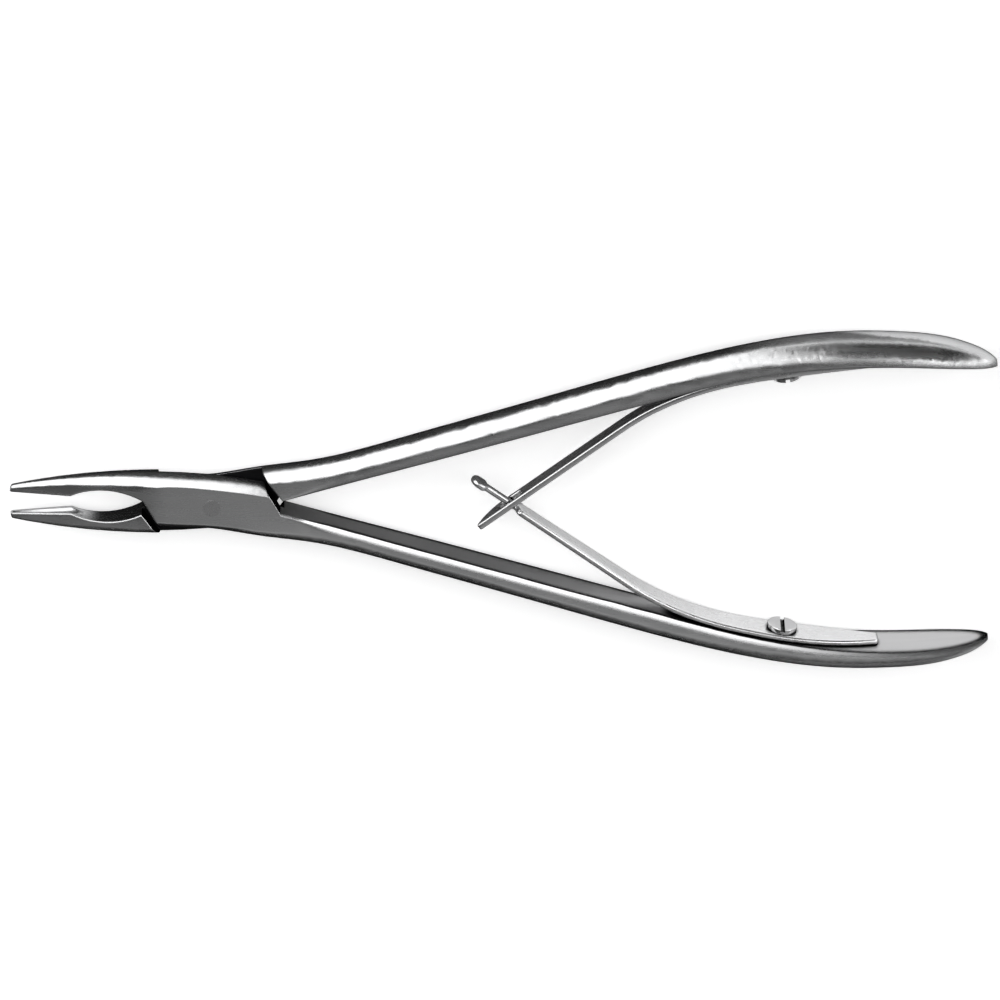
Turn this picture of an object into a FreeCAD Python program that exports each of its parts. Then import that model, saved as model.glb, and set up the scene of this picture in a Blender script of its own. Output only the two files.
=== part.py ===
import FreeCAD, Part
import math
import os
import Sketcher
from FreeCAD import Rotation, Vector

# A straight, single-action bone rongeur: two crossed levers on one flush rivet, with cupped jaws,
# and two leaf springs that hold the handles apart and lock into each other at the middle.
#
# Frame of the finished part: millimetres, the rivet's axis is Z, the jaws point to -X and the handles
# to +X. The instrument lies on its side, and Z = 0 is the flat underside of the joint.
# Both levers are the same forging. Each is drawn closed, with its jaw above the X axis, its handle
# below it and its middle plane at Z = 0. The lower-jaw lever is that forging turned over about X.
# At rest the springs hold each lever half_opening away from closed.

doc = FreeCAD.newDocument("bone_rongeur")
sheet = doc.addObject("Spreadsheet::Sheet", "sheet")

driving = [
    # Joint
    ("half_opening", 3.35),
    ("joint_thickness", 5.0),
    ("lap_clearance", 0.02),
    ("crown_height", 4.3),
    ("crown_back", 4.0),
    ("plate_drop", 4.0),
    ("plate_reach", 9.5),
    ("shoulder_gap", 0.9),
    ("shoulder_slope", 58.0),
    ("shoulder_turn", 0.5),
    ("flat_reach", 10.4),
    ("flat_stock", 0.06),
    # Jaws
    ("jaw_length", 28.75),
    ("jaw_tip_width", 1.0),
    ("jaw_tip_height", 0.92),
    ("jaw_tip_radius", 1.05),
    ("jaw_tip_corner", 0.62),
    ("bite_length", 8.65),
    ("bite_relief", 0.2),
    ("bite_clearance", 0.02),
    ("arch_radius", 11.0),
    ("crotch_height", 0.4),
    ("cup_tip_radius", 0.22),
    ("cup_heel_radius", 0.95),
    ("cup_setback", 0.3),
    ("cup_overrun", 1.5),
    # Handles
    ("handle_length", 112.0),
    ("crotch_drop", 0.29),
    ("grip_angle", 13.2),
    ("bend_start", 70.0),
    ("bend_radius", 94.0),
    ("root_width", 4.94),
    ("root_depth", 4.0),
    ("grip_width", 5.5),
    ("grip_depth", 3.65),
    ("swell_depth", 4.15),
    ("palm_width", 7.9),
    ("palm_depth", 3.65),
    ("end_length", 14.0),
    ("handle_edge_radius", 0.4),
    # Rivet
    ("rivet_radius", 1.0),
    ("rivet_head_radius", 1.25),
    ("rivet_head_depth", 0.5),
    ("rivet_play", 0.03),
    # Leaf springs
    ("leaf_thickness", 0.95),
    ("leaf_gap", 0.02),
    ("leaf_lift_place", 74.5),
    ("leaf_lift_radius", 43.0),
    ("hook_leaf_lift", 22.4),
    ("slotted_leaf_lift", 23.7),
    ("leaf_tail", 96.0),
    ("leaf_tail_width", 2.2),
    ("leaf_width", 5.0),
    ("leaf_waist", 2.8),
    ("neck_start", 2.0),
    ("neck_width", 1.1),
    ("neck_shoulder", 0.4),
    ("head_reach", 6.2),
    ("head_width", 2.5),
    ("head_length", 2.6),
    ("head_shoulder", 0.3),
    ("head_nose", 1.12),
    ("slot_play", 0.2),
    ("slot_length", 4.2),
    ("slot_end_reach", 6.0),
    ("slotted_waist_end", 62.0),
    ("slot_end_curve", 4.9),
    ("slot_end_tip", 0.5),
    # Spring screws
    ("screw_place", 82.0),
    ("screw_radius", 0.95),
    ("screw_play", 0.05),
    ("screw_depth", 2.2),
    ("screw_hole_spare", 0.3),
    ("screw_head_radius", 2.15),
    ("screw_head_height", 0.85),
    ("screw_head_edge", 0.22),
    ("screw_slot_width", 0.6),
    ("screw_slot_depth", 0.5),
]
for row, (alias, number) in enumerate(driving, start=1):
    sheet.set(f"A{row}", str(number))
    sheet.setAlias(f"A{row}", alias)
doc.recompute()


def value(expression):
    number = sheet.evalExpression(expression)
    return float(getattr(number, "Value", number))


def bind(feature, path, expression):
    feature.setExpression(path, expression)


def new_body(label):
    body = doc.addObject("PartDesign::Body", label)
    body.Label = label
    return body


def new_sketch(body, name, role="XY_Plane", lift=None, place=None, turn=None, tilt=None):
    # lift moves the sketch along its plane's normal, place and turn set it in that plane, and tilt
    # turns the plane about the sketch's own upright axis
    sketch = body.newObject("Sketcher::SketchObject", name)
    support = next(f for f in body.Origin.OriginFeatures if f.Role == role)
    sketch.AttachmentSupport = [(support, "")]
    sketch.MapMode = "FlatFace"
    if lift:
        bind(sketch, "AttachmentOffset.Base.z", lift)
    if place:
        bind(sketch, "AttachmentOffset.Base.x", place[0])
        bind(sketch, "AttachmentOffset.Base.y", place[1])
    if turn or tilt:
        axis = Vector(0, 0, 1) if turn else Vector(0, 1, 0)
        sketch.AttachmentOffset = FreeCAD.Placement(Vector(0, 0, 0), Rotation(axis, 1))
        bind(sketch, "AttachmentOffset.Rotation.Angle", turn or tilt)
    return sketch


def arc_between(start, end, radius, side):
    # the shorter arc from start to end, with its centre to the left (side 1) or right (side -1)
    half = (end - start) * 0.5
    left = Vector(-half.y, half.x, 0).normalize()
    centre = start + half + left * side * math.sqrt(max(radius**2 - half.Length**2, 0.0))
    circle = Part.Circle(centre, Vector(0, 0, 1), radius)
    first, last = (start, end) if side > 0 else (end, start)
    return Part.ArcOfCircle(circle, circle.parameter(first), circle.parameter(last))


def outline(sketch, corners, arcs=None):
    # a closed outline through corners, given as pairs of expressions; arcs[i] = (radius, side)
    # bends the edge from corner i to the next one
    arcs = arcs or {}
    first = sketch.GeometryCount
    points = [Vector(value(x), value(y), 0) for x, y in corners]
    begins = []
    ends = []
    for i, start in enumerate(points):
        end = points[(i + 1) % len(points)]
        radius, side = arcs.get(i, ("0", 1))
        if i in arcs:
            sketch.addGeometry(arc_between(start, end, value(radius), side), False)
        else:
            sketch.addGeometry(Part.LineSegment(start, end), False)
        begins.append((first + i, 1 if side > 0 else 2))
        ends.append((first + i, 2 if side > 0 else 1))
    for i, end in enumerate(ends):
        sketch.addConstraint(Sketcher.Constraint("Coincident", *end, *begins[(i + 1) % len(points)]))
    for begin, point, (x, y) in zip(begins, points, corners):
        for kind, number, expression in (("DistanceX", point.x, x), ("DistanceY", point.y, y)):
            index = sketch.addConstraint(Sketcher.Constraint(kind, *begin, number))
            bind(sketch, f"Constraints[{index}]", expression)
    for i, (radius, side) in arcs.items():
        index = sketch.addConstraint(Sketcher.Constraint("Radius", first + i, value(radius)))
        bind(sketch, f"Constraints[{index}]", radius)


def add(body, kind, sketch, **sizes):
    # a feature made from one sketch, checked against the volume before it
    doc.recompute()
    before = body.Shape.Volume if body.Shape.Faces else 0.0
    feature = body.newObject("PartDesign::" + kind, f"{sketch.Name}_{kind.lower()}")
    feature.Profile = sketch
    for name, size in sizes.items():
        if name in ("Length", "Angle"):
            bind(feature, name, size)
        elif name == "Axis":
            feature.ReferenceAxis = (sketch, [size])
        else:
            setattr(feature, name, size)
    doc.recompute()
    gain = body.Shape.Volume - before
    least_change = 1e-4
    if gain * (-1 if kind in ("Pocket", "Groove") else 1) < least_change:
        raise RuntimeError(f"{body.Label}: {feature.Name} changes nothing")
    return feature


def box_points(left, right, low, high):
    return [(left, low), (right, low), (right, high), (left, high)]


# Lines that several pieces share, as expressions of the sheet
half_joint = "(sheet.joint_thickness / 2)"
through = "(sheet.joint_thickness * 8)"  # a cut right through the widest piece
outside = "(sheet.joint_thickness * 2)"  # clear of every outline across the instrument
root_place = "(sheet.plate_reach * 1.5)"  # where the ground joint ends and the handle begins
grip_fall = "tan(sheet.grip_angle * 1deg)"
bend_centre_x = "(sheet.bend_start + sheet.bend_radius * sin(sheet.grip_angle * 1deg))"


palm_end = "(sheet.handle_length - sheet.end_length)"
crown_run = "(sheet.jaw_length - sheet.crown_back)"
crown_fall = "(sheet.crown_height - sheet.jaw_tip_height)"
crown_radius = f"(({crown_run}^2 + {crown_fall}^2) / (2 * {crown_fall}))"


def crown(x):
    # the long arc of the lever's back, from the jaw's tip to the end of the joint
    return f"(sheet.crown_height - {crown_radius} + sqrt({crown_radius}^2 - ({x} + sheet.crown_back)^2))"


def grip_line(x):
    # the straight part of the handle's inner face
    return f"(0 - sheet.crotch_drop - ({x} - sheet.plate_reach) * {grip_fall})"


bend_centre_y = f"({grip_line('sheet.bend_start')} + sheet.bend_radius * cos(sheet.grip_angle * 1deg))"


def bend_line(x):
    # the curved part of the handle's inner face, from the grip to the end
    return f"({bend_centre_y} - sqrt(sheet.bend_radius^2 - ({x} - {bend_centre_x})^2))"


def shoulder(reach, side, y):
    # x at height y of the line that crosses the X axis at side * reach and leans back towards the jaws
    return f"({side} * {reach} - ({y}) / tan(sheet.shoulder_slope * 1deg))"


def around(centre, radius, angle):
    # the point at this angle from straight down, round a centre above the handle
    return (f"({centre[0]} + {radius} * sin({angle}))", f"({centre[1]} - {radius} * cos({angle}))")


bend_centre = (bend_centre_x, bend_centre_y)
screw_lean = f"asin((sheet.screw_place - {bend_centre_x}) / sheet.bend_radius)"
screw_seat = around(bend_centre, "sheet.bend_radius", screw_lean)
lift_lean = f"asin((sheet.leaf_lift_place - {bend_centre_x}) / sheet.bend_radius)"
leaf_seat = "(sheet.bend_radius - sheet.leaf_gap)"
lift_centre = around(bend_centre, f"({leaf_seat} - sheet.leaf_lift_radius)", lift_lean)


half_leaf = "(sheet.leaf_thickness / 2)"
half_waist = "(sheet.leaf_waist / 2)"


def leaf_lean(lift):
    return f"({lift_lean} - {lift} * 1deg)"


def along_leaf(lift, depth, distance):
    # a point on the straight part of the leaf, depth above its outer face
    x, y = around(lift_centre, f"(sheet.leaf_lift_radius - {depth})", leaf_lean(lift))
    return (f"({x} - {distance} * cos({leaf_lean(lift)}))", f"({y} - {distance} * sin({leaf_lean(lift)}))")


def axis_run(lift):
    # how far along the straight part the open leaf's middle line meets the X axis
    x, y = along_leaf(lift, half_leaf, "0")
    swing = "(sheet.half_opening * 1deg)"
    return f"(({y} * cos({swing}) - {x} * sin({swing})) / sin({leaf_lean(lift)} - {swing}))"


def rivet_profile(play, low):
    # half of the rivet's section, wider by play all round
    shank = f"(sheet.rivet_radius + {play})"
    head = f"(sheet.rivet_head_radius + {play})"
    neck = f"({half_joint} - sheet.rivet_head_depth)"
    if low:
        above = f"({half_joint} * 2)"
        return [("0", low), (shank, low), (shank, neck), (head, half_joint), (head, above), ("0", above)]
    return [
        ("0", f"(0 - {half_joint})"),
        (head, f"(0 - {half_joint})"),
        (shank, f"(0 - {neck})"),
        (shank, neck),
        (head, half_joint),
        ("0", half_joint),
    ]


def oval(body, name, x, half, top, bottom, back_share, belly_share):
    # a slice across the lever: straight sides between a rounded back and a rounded belly
    sketch = new_sketch(body, name, "YZ_Plane", lift=x)
    top_corner = f"({top} - {half} * {back_share})"
    low_corner = f"({bottom} + {half} * {belly_share})"
    back = f"({half} * (1 + {back_share}^2) / (2 * {back_share}))"
    belly = f"({half} * (1 + {belly_share}^2) / (2 * {belly_share}))"
    corners = [
        (low_corner, f"(0 - {half})"),
        (top_corner, f"(0 - {half})"),
        (top, "0"),
        (top_corner, half),
        (low_corner, half),
        (bottom, "0"),
    ]
    outline(sketch, corners, {1: (back, 1), 2: (back, 1), 4: (belly, 1), 5: (belly, 1)})
    return sketch


def lever_slices(body):
    # the slices that the forging's blank is lofted through, from the jaw's tip to the handle's end
    half_tip = "(sheet.jaw_tip_width / 2)"
    half_root = "(sheet.root_width / 2)"
    half_grip = "(sheet.grip_width / 2)"
    half_palm = "(sheet.palm_width / 2)"
    rise = "(sheet.crown_height * 0.9)"  # stock above the inner face, cut away later
    slices = []

    # Jaw: one long taper in plan, full width at full_width of its length. The cuts below take away what
    # is under the bite. Each row has its place along the jaw and how round its back is
    full_width = 0.28
    flat_belly = 0.52
    for i, (share, back) in enumerate(((1.0, 0.85), (0.83, 0.85), (0.66, 0.8), (0.5, 0.72), (0.36, 0.6))):
        x = f"(0 - sheet.jaw_length * {share})"
        taper = round((1 - share) / (1 - full_width), 3)
        half = f"({half_tip} + ({half_joint} - {half_tip}) * {taper})"
        slices.append(oval(body, f"jaw_{i}", x, half, crown(x), "(0 - sheet.plate_drop)", back, flat_belly))

    # Joint: wider than its ground flats by the stock that grinding takes off. Each row has its place
    # along the plate, its depth against the plate's, and how round its belly is
    half = f"({half_joint} + sheet.flat_stock)"
    for i, (share, deepen, belly) in enumerate(((-0.72, 1.0, 0.52), (0.0, 1.0, 0.55), (0.74, 1.2, 0.7))):
        x = f"(sheet.plate_reach * {share})"
        low = f"(0 - sheet.plate_drop * {deepen})"
        slices.append(oval(body, f"joint_{i}", x, half, crown(x), low, 0.52, belly))

    # Handle: half-round behind its flat inner face, and a straight grip first. Each row has its place
    # before the bend, how far it has widened from the root, and how far it has deepened to the swell
    grip_back = 0.5
    round_belly = 0.82
    top = f"({grip_line(root_place)} + {rise})"
    low = f"({grip_line(root_place)} - sheet.root_depth)"
    slices.append(oval(body, "root", root_place, half_root, top, low, grip_back, round_belly))
    grips = ((0.38, 0.5, 0.0), (0.6, 1.0, 0.42), (0.8, 1.0, 0.9), (0.97, 1.1, 1.0))
    for i, (share, widen, deepen) in enumerate(grips):
        x = f"(sheet.bend_start * {share})"
        half = f"({half_root} + ({half_grip} - {half_root}) * {widen})"
        depth = f"(sheet.grip_depth + (sheet.swell_depth - sheet.grip_depth) * {deepen})"
        top = f"({grip_line(x)} + {rise})"
        low = f"({grip_line(x)} - {depth})"
        slices.append(oval(body, f"grip_{i}", x, half, top, low, grip_back, round_belly))

    # Palm: wider and flatter on the bend. Each row has its place, and how far it has widened and thinned
    palm_back = 0.4
    for i, (share, widen, thin) in enumerate(((0.4, 0.42, 0.3), (0.76, 0.9, 0.5), (1.0, 1.0, 1.0))):
        x = f"(sheet.bend_start + ({palm_end} - sheet.bend_start) * {share})"
        half = f"({half_grip} + ({half_palm} - {half_grip}) * {widen})"
        depth = f"(sheet.swell_depth + (sheet.palm_depth - sheet.swell_depth) * {thin})"
        top = f"({bend_line(x)} + {rise})"
        low = f"({bend_line(x)} - {depth})"
        slices.append(oval(body, f"palm_{i}", x, half, top, low, palm_back, round_belly))

    # A blunt, rounded end: fuller than an ellipse in plan, and an ellipse in side view
    plan_fullness = 2.5
    for i, share in enumerate((0.45, 0.72, 0.9, 0.975)):
        x = f"({palm_end} + sheet.end_length * {share})"
        half = f"({half_palm} * {round((1 - share**plan_fullness) ** 0.5, 4)})"
        depth = f"(sheet.palm_depth * {round((1 - share**2) ** 0.5, 4)})"
        top = f"({bend_line(x)} + {rise})"
        low = f"({bend_line(x)} - {depth})"
        slices.append(oval(body, f"end_{i}", x, half, top, low, palm_back, round_belly))
    return slices


def cut_joint(body):
    # Ground flats on both faces of the joint
    for side in (1, -1):
        flat = new_sketch(body, f"joint_flat_{(1 - side) // 2}", lift=f"({side} * {half_joint})")
        outline(flat, box_points("(0 - sheet.flat_reach)", root_place, f"(0 - {outside})", outside))
        add(body, "Pocket", flat, Length=outside, Reversed=side > 0)

    # Everything above the handle's inner face, up to the plate's shoulder
    beyond = f"(sheet.handle_length + {half_joint})"
    corners = [
        (shoulder("sheet.plate_reach", 1, outside), outside),
        (shoulder("sheet.plate_reach", 1, "(0 - sheet.crotch_drop)"), "(0 - sheet.crotch_drop)"),
        ("sheet.bend_start", grip_line("sheet.bend_start")),
        (beyond, bend_line(beyond)),
        (beyond, outside),
    ]
    inner = new_sketch(body, "inner_face")
    outline(inner, corners, {2: ("sheet.bend_radius", 1)})
    add(body, "Pocket", inner, Length=through, Midplane=True)

    # The back half of the joint is cut away for the other lever's plate
    reach = "(sheet.plate_reach + sheet.shoulder_gap)"
    turn = "sheet.shoulder_turn"
    left = f"(0 - {shoulder(reach, 1, f'(0 - {turn})')})"
    right = f"(0 - {shoulder(reach, -1, turn)})"
    corners = [
        (f"(0 - {shoulder(reach, 1, outside)})", outside),
        (left, f"(0 - {turn})"),
        (left, f"(0 - {outside})"),
        (f"(0 - {shoulder(reach, -1, f'(0 - {outside})')})", f"(0 - {outside})"),
        (right, turn),
        (right, outside),
    ]
    recess = new_sketch(body, "lap_recess", lift="(sheet.lap_clearance / 2)")
    outline(recess, corners)
    add(body, "Pocket", recess, Length=outside)


def cut_jaw(body):
    heel = "(sheet.bite_length - sheet.jaw_length)"
    before_tip = "(0 - sheet.jaw_length - sheet.jaw_tip_radius)"
    bite_start = "(sheet.bite_clearance / 2 - sheet.bite_relief * sheet.jaw_tip_radius / sheet.bite_length)"
    below = f"(0 - {outside})"

    # Everything below the bite, with the arch behind it and the plate's shoulder
    corners = [
        (before_tip, below),
        (shoulder("sheet.plate_reach", -1, below), below),
        (shoulder("sheet.plate_reach", -1, "sheet.crotch_height"), "sheet.crotch_height"),
        (heel, "(sheet.bite_clearance / 2 + sheet.bite_relief)"),
        (before_tip, bite_start),
    ]
    bite = new_sketch(body, "bite_and_arch")
    outline(bite, corners, {2: ("sheet.arch_radius", 1)})
    add(body, "Pocket", bite, Length=through, Midplane=True)

    # The tip is rounded over its back and in plan
    after_tip = "(sheet.jaw_tip_radius - sheet.jaw_length)"
    nose_low = f"({crown(after_tip)} - sheet.jaw_tip_radius)"
    corners = [
        (before_tip, nose_low),
        ("(0 - sheet.jaw_length)", nose_low),
        (after_tip, crown(after_tip)),
        (after_tip, outside),
        (before_tip, outside),
    ]
    nose = new_sketch(body, "nose")
    outline(nose, corners, {1: ("sheet.jaw_tip_radius", -1)})
    add(body, "Pocket", nose, Length=through, Midplane=True)
    plan_round = "sheet.jaw_tip_corner"
    after_tip = f"({plan_round} - sheet.jaw_length)"
    for side in (1, -1):
        corners = [
            (before_tip, "0"),
            ("(0 - sheet.jaw_length)", "0"),
            (after_tip, f"({side} * {plan_round})"),
            (after_tip, f"({side} * {outside})"),
            (before_tip, f"({side} * {outside})"),
        ]
        corner = new_sketch(body, f"nose_corner_{(1 - side) // 2}", "XZ_Plane")
        outline(corner, corners, {1: (plan_round, -side)})
        add(body, "Pocket", corner, Length=through, Midplane=True)

    # The cup is a hollow cone along the bite that ends in a ball behind the heel
    cup_start = "(sheet.cup_setback + sheet.cup_tip_radius - sheet.jaw_length)"
    cup_end = f"({heel} + sheet.cup_overrun)"
    corners = [
        (f"({cup_start} - sheet.cup_tip_radius)", "0"),
        (f"({cup_end} + sheet.cup_heel_radius)", "0"),
        (cup_end, "sheet.cup_heel_radius"),
        (cup_start, "sheet.cup_tip_radius"),
    ]
    cup = new_sketch(body, "cup", place=("0", "(sheet.bite_clearance + sheet.bite_relief) / 2"))
    outline(cup, corners, {1: ("sheet.cup_heel_radius", 1), 3: ("sheet.cup_tip_radius", 1)})
    add(body, "Groove", cup, Angle="360", Axis="H_Axis")


def round_handle(body):
    # both long edges of the handle's inner face, found by their length and by lying on its line
    shortest = 1.5
    off_line = 0.06
    least_change = 1.0
    names = []
    for i, edge in enumerate(body.Shape.Edges, start=1):
        box = edge.BoundBox
        if box.XMin < value("sheet.plate_reach") or box.XLength < shortest:
            continue
        middle = edge.valueAt((edge.FirstParameter + edge.LastParameter) / 2)
        line = grip_line if middle.x < value("sheet.bend_start") else bend_line
        if abs(middle.y - value(line(str(middle.x)))) < off_line:
            names.append(f"Edge{i}")
    before = body.Shape.Volume
    sharp = body.Tip
    fillet = body.newObject("PartDesign::Fillet", "inner_edges")
    fillet.Base = (sharp, names)
    bind(fillet, "Radius", "sheet.handle_edge_radius")
    doc.recompute()
    if not body.Shape.isValid() or body.Shape.Volume > before - least_change:
        raise RuntimeError(f"{body.Label}: its inner edges aren't rounded")


def make_lever(label, rivet_play):
    body = new_body(label)
    slices = lever_slices(body)
    blank = body.newObject("PartDesign::AdditiveLoft", "forging")
    blank.Profile = slices[0]
    blank.Sections = slices[1:]
    doc.recompute()
    cut_joint(body)
    cut_jaw(body)
    round_handle(body)

    # The rivet's hole, countersunk in the plate's outer face
    hole = new_sketch(body, "rivet_hole", "XZ_Plane")
    outline(hole, rivet_profile(rivet_play, f"(0 - {half_joint} / 2)"))
    add(body, "Groove", hole, Angle="360", Axis="V_Axis")

    # The spring screw's blind hole, square to the inner face
    hole = new_sketch(body, "screw_hole", place=screw_seat, turn=screw_lean)
    radius = "(sheet.screw_radius + sheet.screw_play)"
    bottom = "(0 - sheet.screw_depth - sheet.screw_hole_spare)"
    outline(hole, box_points("0", radius, bottom, "sheet.screw_radius"))
    add(body, "Groove", hole, Angle="360", Axis="V_Axis")
    return body


def leaf_blank(body, lift, front):
    # the leaf's side view: along the bend, away from it on a tighter arc, then straight to front
    top_radius = f"({leaf_seat} - sheet.leaf_thickness)"
    tail_lean = f"asin((sheet.leaf_tail - {bend_centre_x}) / sheet.bend_radius)"
    lift_top = "(sheet.leaf_lift_radius - sheet.leaf_thickness)"
    corners = [
        along_leaf(lift, "0", front),
        along_leaf(lift, "0", "0"),
        around(bend_centre, leaf_seat, lift_lean),
        around(bend_centre, leaf_seat, tail_lean),
        around(bend_centre, top_radius, tail_lean),
        around(bend_centre, top_radius, lift_lean),
        along_leaf(lift, "sheet.leaf_thickness", "0"),
        along_leaf(lift, "sheet.leaf_thickness", front),
    ]
    arcs = {
        1: ("sheet.leaf_lift_radius", 1),
        2: (leaf_seat, 1),
        4: (top_radius, -1),
        5: (lift_top, -1),
    }
    profile = new_sketch(body, "leaf_side")
    outline(profile, corners, arcs)
    add(body, "Pad", profile, Length="(sheet.leaf_width * 2)", Midplane=True)


def trim_leaf(body, waist_x, front_x):
    # the leaf's plan, widest at the screw, tapered to its tail and to a narrow waist that runs to front_x
    wide = "(sheet.leaf_width / 2)"
    tail = "(sheet.leaf_tail_width / 2)"
    fall = f"({wide} - {tail})"
    start = "(sheet.screw_place + sheet.screw_head_radius)"
    end = f"(sheet.leaf_tail + {half_leaf})"
    round_off = f"((({end} - {start})^2 + {fall}^2) / (2 * {fall}))"
    corners = [
        ("sheet.screw_place", f"(0 - {wide})"),
        (start, f"(0 - {wide})"),
        (end, f"(0 - {tail})"),
        (end, tail),
        (start, wide),
        ("sheet.screw_place", wide),
        (waist_x, half_waist),
        (front_x, half_waist),
        (front_x, f"(0 - {half_waist})"),
        (waist_x, f"(0 - {half_waist})"),
    ]
    arcs = {1: (round_off, 1), 3: (round_off, 1)}
    plan = new_sketch(body, "leaf_plan", "XZ_Plane")
    around_leaf = box_points("0", "(sheet.handle_length * 1.3)", f"(0 - {outside})", outside)
    outline(plan, around_leaf)
    outline(plan, corners, arcs)
    add(body, "Pocket", plan, Length="(sheet.handle_length * 2)", Midplane=True)

    hole = new_sketch(body, "screw_hole", place=screw_seat, turn=screw_lean)
    radius = "(sheet.screw_radius + sheet.screw_play * 2)"
    outline(hole, box_points("0", radius, "(0 - sheet.leaf_thickness)", "(sheet.leaf_thickness * 3)"))
    add(body, "Groove", hole, Angle="360", Axis="V_Axis")


def leaf_sketch(body, name, lift, distance):
    # a sketch on the leaf's straight part, with its origin at this distance along it
    x, y = along_leaf(lift, half_leaf, distance)
    return new_sketch(body, name, "XZ_Plane", lift=f"(0 - {y})", place=(x, "0"), tilt=leaf_lean(lift))


def make_hook_leaf(label):
    # this leaf ends in a neck and a wide rounded head that can't pass back through the slot
    lift = "sheet.hook_leaf_lift"
    body = new_body(label)
    crossing = axis_run(lift)
    tip = f"({crossing} + sheet.head_reach)"
    leaf_blank(body, lift, f"({tip} + sheet.leaf_thickness)")
    neck_x = along_leaf(lift, half_leaf, f"({crossing} - sheet.neck_start)")[0]
    trim_leaf(body, neck_x, along_leaf(lift, half_leaf, f"({tip} + {outside})")[0])

    # Distances from the head's tip, back along the leaf
    half_neck = "(sheet.neck_width / 2)"
    half_head = "(sheet.head_width / 2)"
    nose_radius = f"((sheet.head_nose^2 + {half_head}^2) / (2 * sheet.head_nose))"
    start = "(sheet.head_reach + sheet.neck_start)"
    side = [
        (start, half_waist),
        (f"({start} - sheet.neck_shoulder)", half_neck),
        ("sheet.head_length", half_neck),
        ("(sheet.head_length - sheet.head_shoulder)", half_head),
        ("sheet.head_nose", half_head),
    ]
    corners = side + [("0", "0")] + [(x, f"(0 - {z})") for x, z in reversed(side)]
    corners += box_points(start, f"(0 - {outside})", f"(0 - {outside})", outside)
    front = leaf_sketch(body, "neck_and_head", lift, tip)
    outline(front, corners, {4: (nose_radius, 1), 5: (nose_radius, 1)})
    add(body, "Pocket", front, Length="sheet.leaf_width", Midplane=True)
    return body


def make_slotted_leaf(label):
    lift = "sheet.slotted_leaf_lift"
    body = new_body(label)
    crossing = axis_run(lift)
    tip = f"({crossing} + sheet.slot_end_reach)"
    leaf_blank(body, lift, f"({tip} + sheet.leaf_thickness)")
    front_x = along_leaf(lift, half_leaf, f"({tip} + {outside})")[0]
    trim_leaf(body, "sheet.slotted_waist_end", front_x)

    # The front end is cut to one long curve, from one side to the narrow tip at the other
    tip_z = f"(sheet.slot_end_tip - {half_waist})"
    curve_depth = "(sheet.leaf_waist - sheet.slot_end_tip)"
    curve_radius = f"((sheet.slot_end_curve^2 + {curve_depth}^2) / (2 * {curve_depth}))"
    corners = [("sheet.slot_end_curve", half_waist), ("0", tip_z), ("0", f"(0 - {outside})")]
    corners += [(f"(0 - {outside})", f"(0 - {outside})"), (f"(0 - {outside})", outside)]
    corners += [("sheet.slot_end_curve", outside)]
    front = leaf_sketch(body, "curved_end", lift, tip)
    outline(front, corners, {0: (curve_radius, 1)})
    add(body, "Pocket", front, Length="sheet.leaf_width", Midplane=True)

    # The slot lets the other leaf's neck through. Its head goes in a quarter turn round
    slot = leaf_sketch(body, "slot", lift, crossing)
    half = "(sheet.neck_width / 2 + sheet.slot_play)"
    right = f"(sheet.slot_length / 2 - {half})"
    round_end = f"({half} * 1.0001)"
    ends = {1: (round_end, 1), 3: (round_end, 1)}
    outline(slot, box_points(f"(0 - {right})", right, f"(0 - {half})", half), ends)
    add(body, "Pocket", slot, Length="sheet.leaf_width", Midplane=True)
    return body


def make_screw(label):
    body = new_body(label)
    # Cheese head with a rounded edge, and a plain shank in the handle
    seat = "(sheet.leaf_thickness + sheet.leaf_gap * 3)"
    top = f"({seat} + sheet.screw_head_height)"
    edge = "sheet.screw_head_edge"
    corners = [
        ("0", "(0 - sheet.screw_depth)"),
        ("sheet.screw_radius", "(0 - sheet.screw_depth)"),
        ("sheet.screw_radius", seat),
        ("sheet.screw_head_radius", seat),
        ("sheet.screw_head_radius", f"({top} - {edge})"),
        (f"(sheet.screw_head_radius - {edge})", top),
        ("0", top),
    ]
    profile = new_sketch(body, "screw_profile", place=screw_seat, turn=screw_lean)
    outline(profile, corners, {4: (edge, 1)})
    add(body, "Revolution", profile, Angle="360", Axis="V_Axis")
    # The driver's slot runs across the handle
    slot = new_sketch(body, "driver_slot", place=screw_seat, turn=screw_lean)
    half = "(sheet.screw_slot_width / 2)"
    outline(slot, box_points(f"(0 - {half})", half, f"({top} - sheet.screw_slot_depth)", f"({top} * 2)"))
    add(body, "Pocket", slot, Length=through, Midplane=True)
    return body


def make_rivet(label):
    body = new_body(label)
    profile = new_sketch(body, "rivet_section", "XZ_Plane")
    outline(profile, rivet_profile("0", None))
    add(body, "Revolution", profile, Angle="360", Axis="V_Axis")
    return body


upper_jaw_side = [
    make_lever("upper_jaw_lever", "0"),
    make_rivet("pivot_rivet"),
    make_hook_leaf("lower_leaf_spring"),
    make_screw("lower_spring_screw"),
]
lower_jaw_side = [
    make_lever("lower_jaw_lever", "sheet.rivet_play"),
    make_slotted_leaf("upper_leaf_spring"),
    make_screw("upper_spring_screw"),
]
middle = "vector(0; 0; sheet.joint_thickness / 2)"
open_down = "rotation(vector(0; 0; 1); 0 - sheet.half_opening)"
open_up = "rotation(vector(0; 0; 1); sheet.half_opening) * rotation(vector(1; 0; 0); 180)"
for body in upper_jaw_side:
    bind(body, "Placement", f"placement({middle}; {open_down})")
for body in lower_jaw_side:
    bind(body, "Placement", f"placement({middle}; {open_up})")
doc.recompute()

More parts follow.
